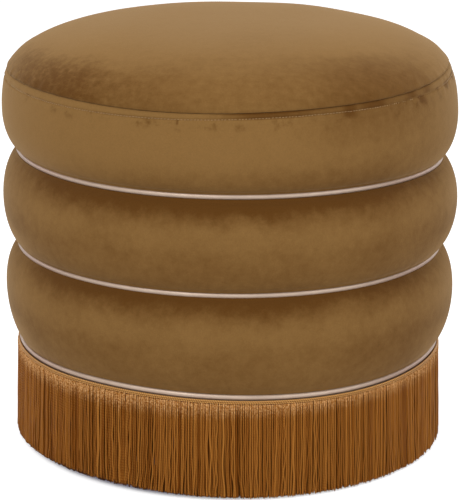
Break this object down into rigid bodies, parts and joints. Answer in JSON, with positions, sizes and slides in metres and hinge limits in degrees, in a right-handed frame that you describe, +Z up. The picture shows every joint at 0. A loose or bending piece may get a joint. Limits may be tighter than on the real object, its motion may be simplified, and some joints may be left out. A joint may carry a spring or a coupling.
{
  "type": "tuffet",
  "caption": "Round upholstered tuffet with padded velvet tiers, metallic piping at each waist, a crowned seat and a cord fringe down to the floor.",
  "frame": {"origin": "on the floor, at the axis of the drum", "axes": "+Z up along the axis of the drum, -Y towards the front that the picture shows, +X to the right seen from the front"},
  "size_m": [0.448, 0.448, 0.4183],
  "materials": {
    "velvet": "matte",
    "leatherette": "satin",
    "cord": "matte",
    "fringe": "matte",
    "calico": "matte",
    "card": "matte",
    "cambric": "matte",
    "foam": "matte",
    "wadding": "matte",
    "plywood": "matte",
    "hardboard": "matte",
    "hardwood": "satin",
    "plastic": "satin",
    "steel": "satin"
  },
  "bodies": {
    "root": {"glide_1": "plastic", "glide_2": "plastic", "glide_3": "plastic", "glide_4": "plastic", "foot_1": "hardwood", "foot_2": "hardwood", "foot_3": "hardwood", "foot_4": "hardwood", "hanger_bolt_1": "steel", "hanger_bolt_2": "steel", "hanger_bolt_3": "steel", "hanger_bolt_4": "steel", "tee_nut_1": "steel", "tee_nut_2": "steel", "tee_nut_3": "steel", "tee_nut_4": "steel", "drum_post_1": "plywood", "drum_post_2": "plywood", "drum_post_3": "plywood", "drum_post_4": "plywood", "base_screw_1": "steel", "base_screw_2": "steel", "base_screw_3": "steel", "base_screw_4": "steel", "seat_screw_1": "steel", "seat_screw_2": "steel", "seat_screw_3": "steel", "seat_screw_4": "steel", "fringe_1": "fringe", "fringe_2": "fringe", "fringe_3": "fringe", "fringe_4": "fringe", "dust_cover": "cambric", "base_board": "plywood", "drum_hoop_bottom": "plywood", "drum_hoop_middle": "plywood", "drum_hoop_upper": "plywood", "drum_wall": "hardboard", "seat_board": "plywood", "bottom_tier_foam": "foam", "middle_tier_foam": "foam", "top_tier_foam": "foam", "seat_foam": "foam", "seat_wadding": "wadding", "lower_pull_tape": "calico", "upper_pull_tape": "calico", "tack_strip": "card", "lowest_piping_skin": "leatherette", "middle_piping_skin": "leatherette", "upper_piping_skin": "leatherette", "lowest_piping_cord": "cord", "middle_piping_cord": "cord", "upper_piping_cord": "cord", "bottom_band_cover": "velvet", "middle_band_cover": "velvet", "top_band_cover": "velvet", "seat_cover": "velvet"}
  },
  "joints": []
}
